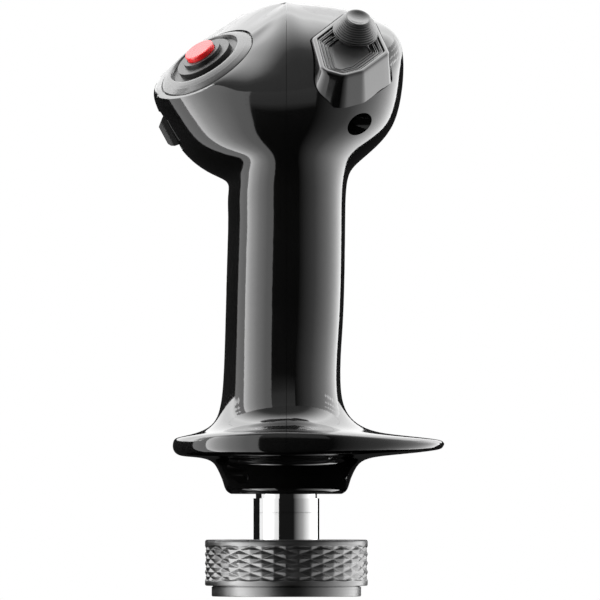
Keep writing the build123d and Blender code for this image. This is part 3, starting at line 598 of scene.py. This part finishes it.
def skin_tree():
    """The fine skin as a search tree, with a normal at each of its points.

    The normals are those of the form without its seats, eased towards the middle over the crown.
    """
    azimuths = np.linspace(0, 2 * np.pi, SKIN_COLUMNS)
    heights = np.linspace(0, SKIN_END, SKIN_ROWS)
    points = skin_points(heights, azimuths)
    form = skin_points(heights, azimuths, seated=False)
    along = np.gradient(form, axis=1)
    around = np.empty_like(form)
    around[1:-1] = form[2:] - form[:-2]
    around[0] = around[-1] = form[1] - form[-2]
    normals = np.cross(around, along)
    normals[..., 0] *= 1 - CROWN_EASE * smooth((form[..., 2] - CROWN_START) / CROWN_RUN)
    normals /= np.linalg.norm(normals, axis=2, keepdims=True) + 1e-12
    flat = points.reshape(-1, 3) * MM
    i, j = np.meshgrid(np.arange(SKIN_COLUMNS - 1), np.arange(SKIN_ROWS - 1), indexing="ij")
    a = (i * SKIN_ROWS + j).ravel()
    faces = np.stack([a, a + SKIN_ROWS, a + SKIN_ROWS + 1, a + 1], axis=1)
    tree = BVHTree.FromPolygons(flat.tolist(), faces.tolist())
    return tree, flat, normals.reshape(-1, 3), faces


SKIN_TREE, SKIN_FLAT, SKIN_NORMALS, SKIN_FACES = skin_tree()


def skin_normal(position):
    """Distance from the skin, and the skin's normal there, weighted over the nearest face."""
    hit, _, index, distance = SKIN_TREE.find_nearest(position)
    corners = SKIN_FACES[index]
    near = 1 / (np.linalg.norm(SKIN_FLAT[corners] - np.array(hit), axis=1) + 1e-7)
    normal = (SKIN_NORMALS[corners] * near[:, None]).sum(axis=0)
    return distance, normal / np.linalg.norm(normal)


def glossy_shell(node, side):
    """The shell's own shape with the skin's exact normals and a parting line along its edge."""
    mesh = frame["nodes"][node].data.copy()
    mesh.name = node + "_skin"
    made = bpy.data.objects.new(node + "_skin", mesh)
    bpy.context.scene.collection.objects.link(made)
    mesh.shade_smooth()
    count = len(mesh.vertices)
    on_skin = np.zeros(count, bool)
    normals = np.zeros((count, 3))
    for vertex in mesh.vertices:
        distance, normal = skin_normal(vertex.co)
        if distance < SKIN_TOLERANCE:
            on_skin[vertex.index] = True
            normals[vertex.index] = normal
    split = np.zeros((len(mesh.loops), 3))
    for face in mesh.polygons:
        corners = [mesh.loops[i].vertex_index for i in face.loop_indices]
        mean = normals[corners].mean(axis=0)
        outer = on_skin[corners].all() and mean @ np.array(face.normal) > FACING
        for index, corner in zip(face.loop_indices, corners):
            split[index] = normals[corner] if outer else face.normal
    for vertex in mesh.vertices:
        if on_skin[vertex.index] and abs(vertex.co.x) < 1e-6:
            vertex.co.x = side * PARTING_HALF
    mesh.normals_split_custom_set([tuple(n) for n in split])
    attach(made, "grip")
    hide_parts(node)


glossy_shell("right_shell", 1)
glossy_shell("left_shell", -1)


# ------------------------------------------------------------------ camera
FRAME_CENTRE = (4.9 * MM, 0.0, 106.7 * MM)
FRAME_WIDTH = 216 * MM
LENS = 1200.0
SENSOR = 36.0
ELEVATION = math.radians(-0.4)
camera_data = bpy.data.cameras.new("camera")
camera_data.lens = LENS
camera_data.sensor_width = SENSOR
camera_data.clip_end = 100
distance = FRAME_WIDTH * LENS / SENSOR
camera = bpy.data.objects.new("camera", camera_data)
camera.location = (FRAME_CENTRE[0], -distance * math.cos(ELEVATION),
                   FRAME_CENTRE[2] + distance * math.sin(ELEVATION))
camera.rotation_euler = (math.pi / 2 - ELEVATION, 0, 0)
bpy.context.scene.collection.objects.link(camera)
bpy.context.scene.camera = camera


# ------------------------------------------------------------------ light
AIM = (0, 0, 0.12)


def polar(azimuth, elevation, radius):
    """A point seen from the object at an azimuth from the camera's side, + to its right."""
    a, e = math.radians(azimuth), math.radians(elevation)
    return (AIM[0] + radius * math.cos(e) * math.sin(a),
            AIM[1] - radius * math.cos(e) * math.cos(a), AIM[2] + radius * math.sin(e))


def panel(name, azimuths, elevations, stops, strength, radius=1.5, along="azimuth"):
    """A curved light panel between two azimuths and two elevations, in degrees.

    stops are (share of the way, brightness), along the azimuth, the elevation or the depth,
    which is 0 straight in front of the object and 1 straight behind it.
    """
    columns, rows = 24, 16
    vertices, shares = [], []
    for j in range(rows + 1):
        for i in range(columns + 1):
            s, t = i / columns, j / rows
            azimuth = azimuths[0] + (azimuths[1] - azimuths[0]) * s
            elevation = elevations[0] + (elevations[1] - elevations[0]) * t
            vertices.append(polar(azimuth, elevation, radius))
            depth = -math.cos(math.radians(elevation)) * math.cos(math.radians(azimuth))
            shares.append({"azimuth": s, "elevation": t, "depth": (depth + 1) / 2}[along])
    row = columns + 1
    faces = [(j * row + i, j * row + i + 1, (j + 1) * row + i + 1, (j + 1) * row + i)
             for j in range(rows) for i in range(columns)]
    material = bpy.data.materials.new(name)
    material.use_nodes = True
    tree = material.node_tree
    tree.nodes.clear()
    read = tree.nodes.new("ShaderNodeAttribute")
    read.attribute_name = "share"
    ramp = tree.nodes.new("ShaderNodeValToRGB")
    fill_ramp(ramp.color_ramp, stops)
    emission = tree.nodes.new("ShaderNodeEmission")
    emission.inputs["Strength"].default_value = strength
    output = tree.nodes.new("ShaderNodeOutputMaterial")
    tree.links.new(read.outputs["Fac"], ramp.inputs["Fac"])
    tree.links.new(ramp.outputs["Color"], emission.inputs["Color"])
    tree.links.new(emission.outputs["Emission"], output.inputs["Surface"])
    made = mesh_object(name, vertices, faces, material)
    attribute = made.data.attributes.new("share", "FLOAT", "POINT")
    attribute.data.foreach_set("value", shares)
    made.visible_camera = False
    made.visible_shadow = False


# Azimuth 0 is the camera's side, +90 the object's right, -90 its left.
panel("left_panel", (-108, -86), (-82, 34), [(0.0, 1.0), (1.0, 1.0)], 1.7)
panel("left_front_panel", (-86, -26.5), (-82, 34),
      [(0.0, 1.0), (0.22, 0.64), (0.5, 0.37), (0.8, 0.22), (1.0, 0.21)], 7.4)
panel("right_panel", (24, 140), (-82, 34),
      [(0.0, 0.0), (0.3, 0.16), (0.6, 0.5), (0.85, 0.85), (1.0, 1.0)], 4.2)
OVERHEAD = [(0.0, 0.06), (0.22, 0.065), (0.28, 0.10), (0.36, 0.30), (0.44, 0.50), (0.52, 0.72),
            (0.60, 0.90), (0.70, 1.0), (0.78, 0.70), (0.86, 0.50), (1.0, 0.25)]
panel("top_panel", (-180, 180), (34, 90), OVERHEAD, 6.0, along="depth")
panel("back_panel", (95, 265), (8, 34), OVERHEAD, 6.0, along="depth")
panel("front_fill", (-30, 30), (8, 34), [(0.0, 0.0), (0.3, 0.8), (1.0, 1.0)], 0.45,
      along="elevation")

FLAG_HEIGHT = 30.0
FLAG_RADII = (30.0, 58.0)


def flag():
    """A black ring card under the hand rest that keeps light off the collar."""
    count = 64
    turns = [2 * math.pi * k / count for k in range(count)]
    vertices = [(r * math.sin(t) * MM, r * math.cos(t) * MM, FLAG_HEIGHT * MM)
                for r in FLAG_RADII for t in turns]
    card = Graph("flag_black")
    card.set(Base_Color=shade(0.0), Roughness=1.0, Specular_IOR_Level=0.0)
    made = mesh_object("flag", vertices, strips(len(FLAG_RADII), count, closed=False), card.material)
    made.visible_camera = False
    made.visible_shadow = False


flag()


# ------------------------------------------------------------------ world
# A dim surround for the reflections, and plain white where the camera sees past the object.
REFLECTED, SEEN = 0.015, 1.0
world = bpy.data.worlds.new("studio")
bpy.context.scene.world = world
world.use_nodes = True
tree = world.node_tree
background = tree.nodes["Background"]
plug(tree, background, {"Color": shade(1), "Strength": REFLECTED})
seen = tree.nodes.new("ShaderNodeBackground")
plug(tree, seen, {"Color": shade(1), "Strength": SEEN})
path = tree.nodes.new("ShaderNodeLightPath")
mix = tree.nodes.new("ShaderNodeMixShader")
tree.links.new(path.outputs["Is Camera Ray"], mix.inputs["Fac"])
tree.links.new(background.outputs["Background"], mix.inputs[1])
tree.links.new(seen.outputs["Background"], mix.inputs[2])
tree.links.new(mix.outputs["Shader"], tree.nodes["World Output"].inputs["Surface"])

# ------------------------------------------------------------------ floor
FLOOR_HALF = 20.0
FLOOR_DROP = 0.2 * MM


def white_floor():
    """A plain white floor just under the object, left out of its reflections."""
    paint = Graph("floor_white")
    paint.set(Base_Color=shade(0.0), Roughness=1.0, Specular_IOR_Level=0.0,
              Emission_Color=shade(1.0), Emission_Strength=1.0)
    corners = [(-FLOOR_HALF, -FLOOR_HALF, 0), (FLOOR_HALF, -FLOOR_HALF, 0),
               (FLOOR_HALF, FLOOR_HALF, 0), (-FLOOR_HALF, FLOOR_HALF, 0)]
    floor = mesh_object("floor", corners, [(0, 1, 2, 3)], paint.material)
    floor.location.z = -FLOOR_DROP
    floor.visible_glossy = False
    floor.visible_diffuse = False


white_floor()

scene = bpy.context.scene
scene.view_settings.view_transform = "Standard"
scene.view_settings.look = "None"
